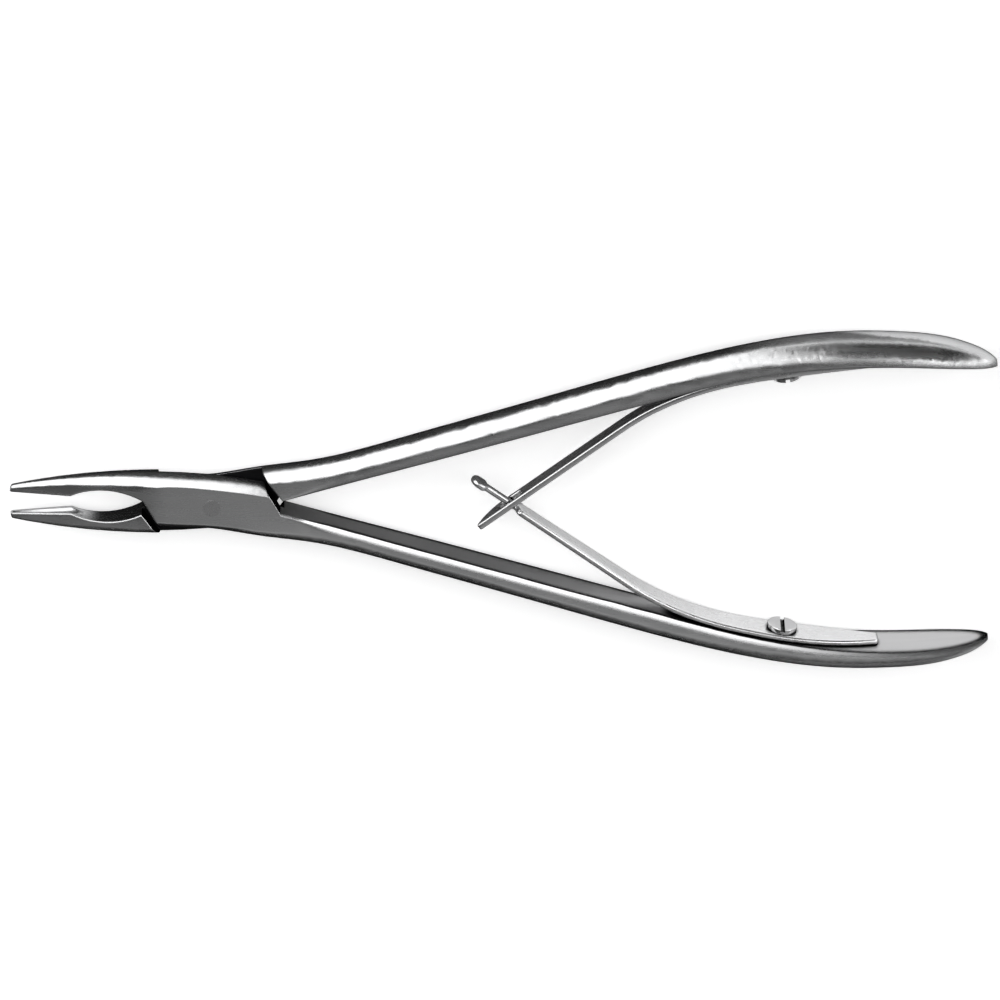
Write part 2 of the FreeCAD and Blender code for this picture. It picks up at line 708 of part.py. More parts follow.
pieces = upper_jaw_side + lower_jaw_side
for feature in doc.Objects:
    if {"Invalid", "Error"} & set(feature.State):
        raise RuntimeError(f"{feature.Name} failed")
for piece in pieces:
    shape = piece.Shape
    if shape.isNull() or not shape.isValid() or len(shape.Solids) != 1:
        raise RuntimeError(f"{piece.Label} is not one valid solid")
os.makedirs("parts", exist_ok=True)
for piece in pieces:
    piece.Shape.exportStep(f"parts/{piece.Label}.step")
    box = piece.Shape.BoundBox
    low = [round(v, 2) for v in (box.XMin, box.YMin, box.ZMin)]
    high = [round(v, 2) for v in (box.XMax, box.YMax, box.ZMax)]
    print(piece.Label, round(piece.Shape.Volume, 2), "mm3", low, high)
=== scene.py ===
import bpy
import bmesh
from math import cos, degrees, pi, radians, sin
from mathutils import Matrix, Vector


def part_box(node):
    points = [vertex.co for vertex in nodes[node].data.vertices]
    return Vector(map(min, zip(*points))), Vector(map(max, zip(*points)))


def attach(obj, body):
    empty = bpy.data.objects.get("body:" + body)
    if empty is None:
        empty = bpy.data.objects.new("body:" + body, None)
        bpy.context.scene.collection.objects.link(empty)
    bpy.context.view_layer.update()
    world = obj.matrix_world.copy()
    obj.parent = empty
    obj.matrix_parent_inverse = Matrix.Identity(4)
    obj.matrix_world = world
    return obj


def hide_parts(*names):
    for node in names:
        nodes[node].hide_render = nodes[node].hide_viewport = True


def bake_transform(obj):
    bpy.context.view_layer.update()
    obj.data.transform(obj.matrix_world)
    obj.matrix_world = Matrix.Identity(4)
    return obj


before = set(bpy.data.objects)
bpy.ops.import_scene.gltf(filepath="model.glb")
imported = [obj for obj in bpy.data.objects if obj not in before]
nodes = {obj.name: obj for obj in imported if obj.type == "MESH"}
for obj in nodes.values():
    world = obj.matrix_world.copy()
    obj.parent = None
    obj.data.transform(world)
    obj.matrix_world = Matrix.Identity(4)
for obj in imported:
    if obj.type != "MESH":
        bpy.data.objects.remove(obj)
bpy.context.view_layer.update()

scene = bpy.context.scene
scene.view_settings.view_transform = "Standard"
mm = 0.001

viewSettings = {
    "pivot": Vector((0, 0, 2.5 * mm)),   # middle of the joint
    "tilt": 26,                          # degrees from straight above, towards the upper handle
    "aside": 40.77 * mm,                 # from the pivot to the picture's middle
    "above": 0.128 * mm,
    "distance": 0.95,
    "lens": 241.2,
}


def makeCamera(settings):
    tilt = radians(settings["tilt"])
    back = Vector((0, sin(tilt), cos(tilt)))
    up = Vector((0, cos(tilt), -sin(tilt)))
    target = settings["pivot"] + Vector((1, 0, 0)) * settings["aside"] + up * settings["above"]
    data = bpy.data.cameras.new("productCamera")
    data.lens = settings["lens"]
    data.sensor_width = 36
    data.clip_start = 0.01
    camera = bpy.data.objects.new("productCamera", data)
    scene.collection.objects.link(camera)
    camera.location = target + back * settings["distance"]
    camera.rotation_euler = Matrix(((1, 0, 0), up, back)).transposed().to_euler()
    scene.camera = camera
    return camera


camera = makeCamera(viewSettings)
print("camera placed")


def newGroup(name, inputs, outputs):
    group = bpy.data.node_groups.new(name, "ShaderNodeTree")
    for label, kind, default in inputs:
        socket = group.interface.new_socket(label, in_out="INPUT", socket_type=kind)
        if default is not None:
            socket.default_value = default
    for label, kind in outputs:
        group.interface.new_socket(label, in_out="OUTPUT", socket_type=kind)
    return group, group.nodes.new("NodeGroupInput"), group.nodes.new("NodeGroupOutput")


def mathNode(tree, operation, first, second=None, clamp=False):
    node = tree.nodes.new("ShaderNodeMath")
    node.operation = operation
    node.use_clamp = clamp
    for socket, source in zip(node.inputs, (first, second)):
        if source is None:
            continue
        if isinstance(source, (int, float)):
            socket.default_value = source
        else:
            tree.links.new(source, socket)
    return node.outputs[0]


def rangeNode(tree, source, low, high, start, end):
    node = tree.nodes.new("ShaderNodeMapRange")
    node.interpolation_type = "SMOOTHSTEP"
    for label, value in (("From Min", low), ("From Max", high), ("To Min", start), ("To Max", end)):
        node.inputs[label].default_value = value
    tree.links.new(source, node.inputs["Value"])
    return node.outputs["Result"]


def colorMix(tree, share, first, second):
    node = tree.nodes.new("ShaderNodeMix")
    node.data_type = "RGBA"
    tree.links.new(share, node.inputs[0])
    for socket, source in ((node.inputs[6], first), (node.inputs[7], second)):
        if isinstance(source, tuple):
            socket.default_value = source
        else:
            tree.links.new(source, socket)
    return node.outputs[2]


def floatMix(tree, share, first, second):
    node = tree.nodes.new("ShaderNodeMix")
    for socket, source in ((node.inputs[0], share), (node.inputs[2], first), (node.inputs[3], second)):
        if isinstance(source, (int, float)):
            socket.default_value = source
        else:
            tree.links.new(source, socket)
    return node.outputs[0]


def vectorMix(tree, share, first, second):
    node = tree.nodes.new("ShaderNodeMix")
    node.data_type = "VECTOR"
    for socket, source in ((node.inputs[0], share), (node.inputs[4], first), (node.inputs[5], second)):
        tree.links.new(source, socket)
    return node.outputs[1]


def splitNode(tree, source):
    node = tree.nodes.new("ShaderNodeSeparateXYZ")
    tree.links.new(source, node.inputs[0])
    return node.outputs


def useGroup(tree, group, values):
    node = tree.nodes.new("ShaderNodeGroup")
    node.node_tree = group
    for label, source in values.items():
        if isinstance(source, (int, float, tuple)):
            node.inputs[label].default_value = source
        else:
            tree.links.new(source, node.inputs[label])
    return node.outputs


# studio: a pale floor, a wide overhead light, a softbox above and one at the far side, and a dark card on the
# floor that only steel mirrors
studio = {
    "floorColor": (0.94, 0.94, 0.94, 1),
    "floorSize": 6.0,
    "floorLift": 0.46,       # the paper's own white, seen but not shining on anything
    "lightLevel": 2.1,
    "overhead": [(-110, 0.02), (-88, 0.05), (-64, 0.25), (-44, 0.46), (-31, 0.4), (-21, 0.12), (0, 0.05),
                 (8, 2.1), (44, 2.1), (56, 0.06), (130, 0.02)],   # degrees from straight up to +Y, and level
    "boxLength": 0.9, "boxFar": 0.16, "boxNear": 0.03, "boxTop": 0.3, "boxMiddle": 0.06,
    "farGap": (0.06, 0.25), "highGap": (0.062, 0.118), "gapFade": 0.03, "gapLevel": 0.02,
    "dimSide": (-0.24, -0.04), "dimShare": 0.25,   # the world is dimmer beyond the jaws
}
cardSettings = {
    "size": 0.8, "lift": 0.05 * mm, "color": (0.3, 0.3, 0.3, 1), "dark": (0.04, 0.04, 0.04, 1),
    "wedgeUpper": 42 * mm, "wedgeLower": 37 * mm, "wedgeSlope": 0.578, "wedgeFade": 0.5 * mm,
    "palmStart": (74 * mm, 82 * mm), "palmLow": (-22.5 * mm, -20.5 * mm), "palmHigh": (16 * mm, 19 * mm),
    "beyond": (30 * mm, 70 * mm), "jawEnd": (-18 * mm, -16 * mm), "jawHalf": (2.5 * mm, 3.5 * mm),
    "darkSlope": 0.25, "darkStart": 2.5 * mm, "darkEnd": (70 * mm, 84 * mm),
}


def stagePiece(name, bm, material):
    mesh = bpy.data.meshes.new(name)
    bm.to_mesh(mesh)
    bm.free()
    mesh.materials.append(material)
    piece = bpy.data.objects.new(name, mesh)
    scene.collection.objects.link(piece)
    return piece


def makeFloor(settings, lowest):
    bm = bmesh.new()
    bmesh.ops.create_grid(bm, x_segments=1, y_segments=1, size=settings["floorSize"] / 2)
    bmesh.ops.translate(bm, verts=bm.verts, vec=(viewSettings["aside"], 0, lowest))
    paper = bpy.data.materials.new("palePaper")
    paper.use_nodes = True
    shader = paper.node_tree.nodes["Principled BSDF"]
    shader.inputs["Base Color"].default_value = settings["floorColor"]
    shader.inputs["Roughness"].default_value = 0.8
    shader.inputs["Specular IOR Level"].default_value = 0.2
    shader.inputs["Emission Color"].default_value = (1, 1, 1, 1)
    tree = paper.node_tree
    path = tree.nodes.new("ShaderNodeLightPath")
    seen = mathNode(tree, "MAXIMUM", path.outputs["Is Camera Ray"], path.outputs["Is Glossy Ray"])
    seen = mathNode(tree, "MAXIMUM", seen, path.outputs["Is Transmission Ray"])
    lift = mathNode(tree, "MULTIPLY", seen, settings["floorLift"])
    tree.links.new(lift, shader.inputs["Emission Strength"])
    return stagePiece("floor", bm, paper)


def makeWorld(settings):
    world = bpy.data.worlds.new("softStudio")
    scene.world = world
    world.use_nodes = True
    tree = world.node_tree
    background = tree.nodes["Background"]
    place = tree.nodes.new("ShaderNodeTexCoord")
    split = tree.nodes.new("ShaderNodeSeparateXYZ")
    share = tree.nodes.new("ShaderNodeMapRange")
    share.inputs["From Min"].default_value = -pi
    share.inputs["From Max"].default_value = pi
    ramp = tree.nodes.new("ShaderNodeValToRGB")
    tree.links.new(place.outputs["Generated"], split.inputs[0])
    turn = mathNode(tree, "ARCTAN2", split.outputs["Y"], split.outputs["Z"])
    tree.links.new(turn, share.inputs["Value"])
    tree.links.new(share.outputs["Result"], ramp.inputs["Fac"])
    light = settings["lightLevel"]
    stops = settings["overhead"]
    elements = ramp.color_ramp.elements
    for i, (angle, level) in enumerate(stops):
        position = (angle + 180) / 360
        if i in (0, len(stops) - 1):
            element = elements[0 if i == 0 else -1]
            element.position = position
        else:
            element = elements.new(position)
        element.color = (level / light, level / light, level / light, 1)
    level = rangeNode(tree, split.outputs["X"], *settings["dimSide"], settings["dimShare"] * light, light)
    tree.links.new(ramp.outputs["Color"], background.inputs["Color"])
    tree.links.new(level, background.inputs["Strength"])


def makeSoftbox(name, settings, turn, size, place, gap):
    # a glowing sheet, dark over the gap along X, that the camera doesn't see
    bm = bmesh.new()
    bmesh.ops.create_grid(bm, x_segments=1, y_segments=1, size=0.5)
    bmesh.ops.scale(bm, verts=bm.verts, vec=(size[0], size[1], 1))
    bmesh.ops.rotate(bm, verts=bm.verts, cent=(0, 0, 0), matrix=Matrix.Rotation(turn, 3, "X"))
    bmesh.ops.translate(bm, verts=bm.verts, vec=place)
    material = bpy.data.materials.new(name + "Cloth")
    material.use_nodes = True
    tree = material.node_tree
    tree.nodes.remove(tree.nodes["Principled BSDF"])
    glow = tree.nodes.new("ShaderNodeEmission")
    where = tree.nodes.new("ShaderNodeTexCoord")
    split = tree.nodes.new("ShaderNodeSeparateXYZ")
    tree.links.new(where.outputs["Object"], split.inputs[0])
    fade, light = settings["gapFade"], settings["lightLevel"]
    before = rangeNode(tree, split.outputs["X"], gap[0] - fade, gap[0], light, settings["gapLevel"])
    after = rangeNode(tree, split.outputs["X"], gap[1], gap[1] + fade, 0, light)
    tree.links.new(mathNode(tree, "ADD", before, after), glow.inputs["Strength"])
    tree.links.new(glow.outputs[0], tree.nodes["Material Output"].inputs["Surface"])
    softbox = stagePiece(name, bm, material)
    softbox.visible_camera = False
    return softbox


def makeCard(settings, lowest):
    # the card lies on the floor around the instrument, open between the springs and beside the palm ends
    bm = bmesh.new()
    bmesh.ops.create_grid(bm, x_segments=1, y_segments=1, size=settings["size"] / 2)
    bmesh.ops.translate(bm, verts=bm.verts, vec=(viewSettings["aside"], 0, lowest + settings["lift"]))
    material = bpy.data.materials.new("darkCard")
    material.use_nodes = True
    tree = material.node_tree
    tree.nodes.remove(tree.nodes["Principled BSDF"])
    place = splitNode(tree, tree.nodes.new("ShaderNodeTexCoord").outputs["Object"])
    x, y = place["X"], place["Y"]
    aside = mathNode(tree, "ABSOLUTE", y)
    slope, fade = settings["wedgeSlope"], settings["wedgeFade"]
    upper = mathNode(tree, "MULTIPLY", mathNode(tree, "SUBTRACT", x, settings["wedgeUpper"]), slope)
    lower = mathNode(tree, "MULTIPLY", mathNode(tree, "SUBTRACT", x, settings["wedgeLower"]), slope)
    wedge = mathNode(tree, "MINIMUM", mathNode(tree, "SUBTRACT", upper, y), mathNode(tree, "ADD", lower, y))
    between = rangeNode(tree, wedge, -fade, fade, 0, 1)
    beside = mathNode(tree, "MULTIPLY", rangeNode(tree, x, *settings["palmStart"], 0, 1),
                      rangeNode(tree, y, *settings["palmLow"], 0, 1))
    beside = mathNode(tree, "MULTIPLY", beside, rangeNode(tree, y, *settings["palmHigh"], 1, 0))
    jaws = mathNode(tree, "MULTIPLY", rangeNode(tree, x, *settings["jawEnd"], 1, 0),
                    rangeNode(tree, aside, *settings["jawHalf"], 1, 0))
    gap = mathNode(tree, "MAXIMUM", between, beside)
    gap = mathNode(tree, "MAXIMUM", gap, rangeNode(tree, y, *settings["beyond"], 0, 1))
    gap = mathNode(tree, "MAXIMUM", gap, jaws)
    span = mathNode(tree, "ADD", mathNode(tree, "MULTIPLY", x, settings["darkSlope"]), settings["darkStart"])
    outside = rangeNode(tree, mathNode(tree, "SUBTRACT", aside, span), -fade, fade, 0, 1)
    outside = mathNode(tree, "MULTIPLY", outside, rangeNode(tree, x, *settings["darkEnd"], 1, 0))
    dark = tree.nodes.new("ShaderNodeBsdfDiffuse")
    tree.links.new(colorMix(tree, outside, settings["color"], settings["dark"]), dark.inputs["Color"])
    clear = tree.nodes.new("ShaderNodeBsdfTransparent")
    mix = tree.nodes.new("ShaderNodeMixShader")
    tree.links.new(gap, mix.inputs[0])
    tree.links.new(dark.outputs[0], mix.inputs[1])
    tree.links.new(clear.outputs[0], mix.inputs[2])
    tree.links.new(mix.outputs[0], tree.nodes["Material Output"].inputs["Surface"])
    card = stagePiece("darkCard", bm, material)
    card.visible_camera = False
    card.visible_diffuse = False
    card.visible_shadow = False
    return card


lowestPoint = min(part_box(name)[0].z for name in nodes)
makeFloor(studio, lowestPoint)
makeWorld(studio)
makeSoftbox("farSoftbox", studio, pi / 2, (studio["boxLength"], studio["boxTop"]),
            (studio["boxMiddle"], studio["boxFar"], studio["boxTop"] / 2), studio["farGap"])
highMiddle = (studio["boxFar"] + studio["boxNear"]) / 2
makeSoftbox("highSoftbox", studio, 0, (studio["boxLength"], studio["boxFar"] - studio["boxNear"]),
            (studio["boxMiddle"], highMiddle, studio["boxTop"]), studio["highGap"])
makeCard(cardSettings, lowestPoint)
print("studio made")


# where each effect of the steel begins and ends: lengths along the instrument, shares of a normal, levels
effectLimits = {
    "satinFacing": (0.86, 0.93), "satinStart": (8 * mm, 13 * mm), "satinMarks": (0.3, 0.7),
    "satinRough": (0.34, 0.46),
    "lapFacing": (0.95, 0.985), "lapHeight": (4.5 * mm, 4.65 * mm), "shoulderFacing": (0.4, 0.55),
    "jointShadeFade": 1 * mm, "jointRough": 0.5, "jointShadeColor": (0.014, 0.014, 0.015, 1),
    "darkReflectionAgreement": (0.972, 0.996), "darkReflectionColor": (0.01, 0.01, 0.011, 1),
    "flatFacing": (0.1, 0.16), "flatEnd": (0.9, 0.95), "flatAgreement": (0.92, 0.975), "flatUp": (0.1, 0.25),
    "flatStart": (11 * mm, 15 * mm), "flatRough": 0.14, "flatNormal": (-0.08, 0.43, 0.9),
    "gripStart": (11 * mm, 18 * mm), "rivetFade": 0.2 * mm,
    "hollowShadeColor": (0.008, 0.008, 0.009, 1),
}


def steelGrainGroup():
    # polishing marks that run along the instrument, and the slow unevenness of hand finishing
    group, inside, out = newGroup(
        "steelGrain",
        [("Vector", "NodeSocketVector", None), ("Marks Scale", "NodeSocketFloat", 900.0),
         ("Stretch", "NodeSocketFloat", 14.0)],
        [("Marks", "NodeSocketFloat"), ("Mottle", "NodeSocketFloat")],
    )
    links = group.links
    place = splitNode(group, inside.outputs["Vector"])
    join = group.nodes.new("ShaderNodeCombineXYZ")
    links.new(mathNode(group, "DIVIDE", place["X"], inside.outputs["Stretch"]), join.inputs["X"])
    links.new(place["Y"], join.inputs["Y"])
    links.new(place["Z"], join.inputs["Z"])
    marks = group.nodes.new("ShaderNodeTexNoise")
    marks.inputs["Detail"].default_value = 5
    marks.inputs["Roughness"].default_value = 0.62
    links.new(join.outputs[0], marks.inputs["Vector"])
    links.new(inside.outputs["Marks Scale"], marks.inputs["Scale"])
    links.new(marks.outputs["Fac"], out.inputs["Marks"])
    mottle = group.nodes.new("ShaderNodeTexNoise")
    mottle.inputs["Scale"].default_value = 110
    mottle.inputs["Detail"].default_value = 3
    links.new(inside.outputs["Vector"], mottle.inputs["Vector"])
    links.new(mottle.outputs["Fac"], out.inputs["Mottle"])
    return group


def edgeRoundingGroup():
    # the normal over a small rounding of the edges, and how far it agrees with the surface's own
    group, inside, out = newGroup("edgeRounding", [("Radius", "NodeSocketFloat", 0.0002)],
                                  [("Normal", "NodeSocketVector"), ("Agreement", "NodeSocketFloat")])
    edge = group.nodes.new("ShaderNodeBevel")
    edge.samples = 12
    own = group.nodes.new("ShaderNodeNewGeometry")
    compare = group.nodes.new("ShaderNodeVectorMath")
    compare.operation = "DOT_PRODUCT"
    group.links.new(inside.outputs["Radius"], edge.inputs["Radius"])
    group.links.new(edge.outputs["Normal"], compare.inputs[0])
    group.links.new(own.outputs["Normal"], compare.inputs[1])
    group.links.new(edge.outputs["Normal"], out.inputs["Normal"])
    group.links.new(compare.outputs["Value"], out.inputs["Agreement"])
    return group


def hollowShadeGroup():
    # painted shade: the colour darkens towards near-black where ambient occlusion finds corners and gaps
    # close by
    group, inside, out = newGroup(
        "hollowShade",
        [("Color", "NodeSocketColor", (0.6, 0.6, 0.6, 1)), ("Reach", "NodeSocketFloat", 0.0009),
         ("Dark", "NodeSocketFloat", 0.4), ("Light", "NodeSocketFloat", 0.85)],
        [("Color", "NodeSocketColor")],
    )
    hollow = group.nodes.new("ShaderNodeAmbientOcclusion")
    hollow.samples = 8
    group.links.new(inside.outputs["Reach"], hollow.inputs["Distance"])
    gather = group.nodes.new("ShaderNodeMapRange")
    gather.interpolation_type = "SMOOTHSTEP"
    gather.inputs["To Min"].default_value = 1
    gather.inputs["To Max"].default_value = 0
    group.links.new(hollow.outputs["AO"], gather.inputs["Value"])
    group.links.new(inside.outputs["Dark"], gather.inputs["From Min"])
    group.links.new(inside.outputs["Light"], gather.inputs["From Max"])
    shade = colorMix(group, gather.outputs["Result"], inside.outputs["Color"], effectLimits["hollowShadeColor"])
    group.links.new(shade, out.inputs["Color"])
    return group


def satinFaceGroup():
    # the flat ground face on the handles' inward side is satin
    group, inside, out = newGroup(
        "satinFace",
        [("Vector", "NodeSocketVector", None), ("Own Normal", "NodeSocketVector", None),
         ("Inward", "NodeSocketFloat", 1.0), ("Marks", "NodeSocketFloat", 0.5),
         ("Color", "NodeSocketColor", (0.6, 0.6, 0.6, 1)),
         ("Satin Color", "NodeSocketColor", (0.6, 0.6, 0.6, 1)), ("Roughness", "NodeSocketFloat", 0.2)],
        [("Color", "NodeSocketColor"), ("Roughness", "NodeSocketFloat"), ("Mask", "NodeSocketFloat")],
    )
    place = splitNode(group, inside.outputs["Vector"])
    own = splitNode(group, inside.outputs["Own Normal"])
    facing = mathNode(group, "MULTIPLY", own["Y"], inside.outputs["Inward"])
    limits = effectLimits
    mask = mathNode(group, "MULTIPLY", rangeNode(group, facing, *limits["satinFacing"], 0, 1),
                    rangeNode(group, place["X"], *limits["satinStart"], 0, 1))
    satin = rangeNode(group, inside.outputs["Marks"], *limits["satinMarks"], *limits["satinRough"])
    color = colorMix(group, mask, inside.outputs["Color"], inside.outputs["Satin Color"])
    group.links.new(floatMix(group, mask, inside.outputs["Roughness"], satin), out.inputs["Roughness"])
    group.links.new(color, out.inputs["Color"])
    group.links.new(mask, out.inputs["Mask"])
    return group


def jointShadeGroup():
    # painted shade: the lap faces and shoulders inside the joint are painted near-black, as shade in the gaps
    # between the levers, and are rougher
    group, inside, out = newGroup(
        "jointShade",
        [("Vector", "NodeSocketVector", None), ("Own Normal", "NodeSocketVector", None),
         ("Reach", "NodeSocketFloat", 0.011), ("Color", "NodeSocketColor", (0.6, 0.6, 0.6, 1)),
         ("Roughness", "NodeSocketFloat", 0.2)],
        [("Color", "NodeSocketColor"), ("Roughness", "NodeSocketFloat")],
    )
    place = splitNode(group, inside.outputs["Vector"])
    own = splitNode(group, inside.outputs["Own Normal"])
    limits = effectLimits
    lap = mathNode(group, "MULTIPLY", rangeNode(group, own["Z"], *limits["lapFacing"], 0, 1),
                   rangeNode(group, place["Z"], *limits["lapHeight"], 1, 0))
    shoulder = rangeNode(group, mathNode(group, "ABSOLUTE", own["X"]), *limits["shoulderFacing"], 0, 1)
    beyond = mathNode(group, "SUBTRACT", mathNode(group, "ABSOLUTE", place["X"]), inside.outputs["Reach"])
    mask = mathNode(group, "MULTIPLY", mathNode(group, "MAXIMUM", lap, shoulder),
                    rangeNode(group, beyond, 0, limits["jointShadeFade"], 1, 0))
    jointRough = mathNode(group, "MULTIPLY", mask, limits["jointRough"])
    rough = mathNode(group, "MAXIMUM", inside.outputs["Roughness"], jointRough)
    group.links.new(rough, out.inputs["Roughness"])
    group.links.new(colorMix(group, mask, inside.outputs["Color"], limits["jointShadeColor"]), out.inputs["Color"])
    return group


def gripEdgeGroup():
    # the satin face ends in a painted dark line, a painted dark reflection along its edge, and beyond it the
    # handle's ground edge is given a narrow bright flat in the shading normal
    group, inside, out = newGroup(
        "gripEdge",
        [("Vector", "NodeSocketVector", None), ("Own Normal", "NodeSocketVector", None),
         ("Inward", "NodeSocketFloat", 1.0), ("Agreement", "NodeSocketFloat", 1.0),
         ("Satin", "NodeSocketFloat", 0.0), ("Color", "NodeSocketColor", (0.6, 0.6, 0.6, 1)),
         ("Roughness", "NodeSocketFloat", 0.2),
         ("Normal", "NodeSocketVector", None)],
        [("Color", "NodeSocketColor"), ("Roughness", "NodeSocketFloat"), ("Normal", "NodeSocketVector")],
    )
    limits = effectLimits
    agreement, satin = inside.outputs["Agreement"], inside.outputs["Satin"]
    darkReflection = mathNode(group, "MULTIPLY", rangeNode(group, agreement, *limits["darkReflectionAgreement"], 1, 0), satin)
    group.links.new(colorMix(group, darkReflection, inside.outputs["Color"], limits["darkReflectionColor"]), out.inputs["Color"])
    own = splitNode(group, inside.outputs["Own Normal"])
    facing = mathNode(group, "MULTIPLY", own["Y"], inside.outputs["Inward"])
    flat = mathNode(group, "MULTIPLY", rangeNode(group, facing, *limits["flatFacing"], 0, 1),
                    rangeNode(group, facing, *limits["flatEnd"], 1, 0))
    near = mathNode(group, "MULTIPLY", rangeNode(group, agreement, *limits["flatAgreement"], 1, 0),
                    mathNode(group, "SUBTRACT", 1, satin))
    flat = mathNode(group, "MULTIPLY", mathNode(group, "MAXIMUM", flat, near),
                    rangeNode(group, own["Z"], *limits["flatUp"], 0, 1))
    along = splitNode(group, inside.outputs["Vector"])["X"]
    flat = mathNode(group, "MULTIPLY", flat, rangeNode(group, along, *limits["flatStart"], 0, 1))
    rough = floatMix(group, flat, inside.outputs["Roughness"], limits["flatRough"])
    group.links.new(rough, out.inputs["Roughness"])
    lean = limits["flatNormal"]
    tilt = group.nodes.new("ShaderNodeCombineXYZ")
    tilt.inputs["X"].default_value = lean[0]
    group.links.new(mathNode(group, "MULTIPLY", inside.outputs["Inward"], lean[1]), tilt.inputs["Y"])
    tilt.inputs["Z"].default_value = lean[2]
    turn = group.nodes.new("ShaderNodeVectorTransform")
    turn.vector_type = "NORMAL"
    turn.convert_from = "OBJECT"
    turn.convert_to = "WORLD"
    group.links.new(tilt.outputs[0], turn.inputs[0])
    group.links.new(vectorMix(group, flat, inside.outputs["Normal"], turn.outputs[0]), out.inputs["Normal"])
    return group


steelGrain = steelGrainGroup()
edgeRounding = edgeRoundingGroup()
hollowShade = hollowShadeGroup()
satinFace = satinFaceGroup()
jointShade = jointShadeGroup()
gripEdge = gripEdgeGroup()


def makeSteel(name, settings):
    # polished steel; where settings name an inward side, the effects of the handles and the joint are added
    material = bpy.data.materials.new(name)
    material.use_nodes = True
    tree = material.node_tree
    shader = tree.nodes["Principled BSDF"]
    shader.inputs["Metallic"].default_value = 1.0
    shader.inputs["Specular Tint"].default_value = (0.0, 0.0, 0.0, 1)   # the dark rim of polished steel
    coordinates = tree.nodes.new("ShaderNodeTexCoord")
    vector, ownNormal = coordinates.outputs["Object"], coordinates.outputs["Normal"]
    place = splitNode(tree, vector)
    grain = useGroup(tree, steelGrain, {"Vector": vector, "Marks Scale": settings["marksScale"],
                                        "Stretch": settings["stretch"]})
    rough = rangeNode(tree, grain["Marks"], 0.35, 0.65, settings["roughLow"], settings["roughHigh"])
    color = colorMix(tree, grain["Mottle"], settings["dark"], settings["pale"])
    radius = settings["edge"]
    if "inward" in settings:
        radius = rangeNode(tree, place["X"], *effectLimits["gripStart"], radius, settings["gripEdge"])
    rounding = useGroup(tree, edgeRounding, {"Radius": radius})
    normal = rounding["Normal"]
    if "inward" in settings:
        satin = useGroup(tree, satinFace, {
            "Vector": vector, "Own Normal": ownNormal, "Inward": settings["inward"], "Marks": grain["Marks"],
            "Color": color, "Satin Color": settings["satin"], "Roughness": rough})
        # painted shade on the joint's lap faces and shoulders, where the gaps between the levers are in
        # shadow
        scale = useGroup(tree, jointShade, {
            "Vector": vector, "Own Normal": ownNormal, "Reach": settings["jointShadeReach"],
            "Color": satin["Color"], "Roughness": satin["Roughness"]})
        own = tree.nodes.new("ShaderNodeNewGeometry")
        # no rounding at the flush rivet, nor on the grips, which are round already
        flush = settings["flush"]
        squares = [mathNode(tree, "POWER", place[axis], 2) for axis in ("X", "Y")]
        away = mathNode(tree, "SQRT", mathNode(tree, "ADD", *squares))
        grips = rangeNode(tree, place["X"], *effectLimits["gripStart"], 1, 0)
        rounded = rangeNode(tree, away, flush, flush + effectLimits["rivetFade"], 0, 1)
        rounded = mathNode(tree, "MULTIPLY", rounded, grips)
        normal = vectorMix(tree, rounded, own.outputs["Normal"], normal)
        # painted dark reflection along the edge of the handles' satin face, and the edge's bright flat in the
        # normal
        edge = useGroup(tree, gripEdge, {
            "Vector": vector, "Own Normal": ownNormal, "Inward": settings["inward"],
            "Agreement": rounding["Agreement"], "Satin": satin["Mask"],
            "Color": scale["Color"], "Roughness": scale["Roughness"], "Normal": normal})
        color, rough, normal = edge["Color"], edge["Roughness"], edge["Normal"]
    # painted shade: corners and gaps are darkened in the base colour by ambient occlusion
    if "hollowReach" in settings:
        hollow = useGroup(tree, hollowShade, {
            "Color": color, "Reach": settings["hollowReach"], "Dark": settings["hollowDark"],
            "Light": settings["hollowLight"]})
        color = hollow["Color"]
    tree.links.new(color, shader.inputs["Base Color"])
    tree.links.new(rough, shader.inputs["Roughness"])
    bump = tree.nodes.new("ShaderNodeBump")
    bump.inputs["Strength"].default_value = settings["bump"]
    bump.inputs["Distance"].default_value = 0.02 * mm
    tree.links.new(grain["Marks"], bump.inputs["Height"])
    tree.links.new(normal, bump.inputs["Normal"])
    tree.links.new(bump.outputs["Normal"], shader.inputs["Normal"])
    return material


leverLook = {
    "marksScale": 900, "stretch": 14, "roughLow": 0.23, "roughHigh": 0.3, "bump": 0.2, "edge": 0.35 * mm,
    "gripEdge": 2.2 * mm,
    "dark": (0.56, 0.565, 0.57, 1), "pale": (0.68, 0.68, 0.685, 1), "satin": (0.62, 0.62, 0.625, 1),
    "hollowReach": 0.9 * mm, "hollowDark": 0.4, "hollowLight": 0.85,
    "flush": 1.95 * mm, "jointShadeReach": 11 * mm,
}
upperJawSteel = makeSteel("upperJawSteel", dict(leverLook, inward=1.0))
lowerJawSteel = makeSteel("lowerJawSteel", dict(leverLook, inward=-1.0))
springLook = {
    "marksScale": 1100, "stretch": 5, "roughLow": 0.22, "roughHigh": 0.32, "bump": 0.25,
    "hollowReach": 0.8 * mm, "hollowDark": 0.35, "hollowLight": 0.85,
}
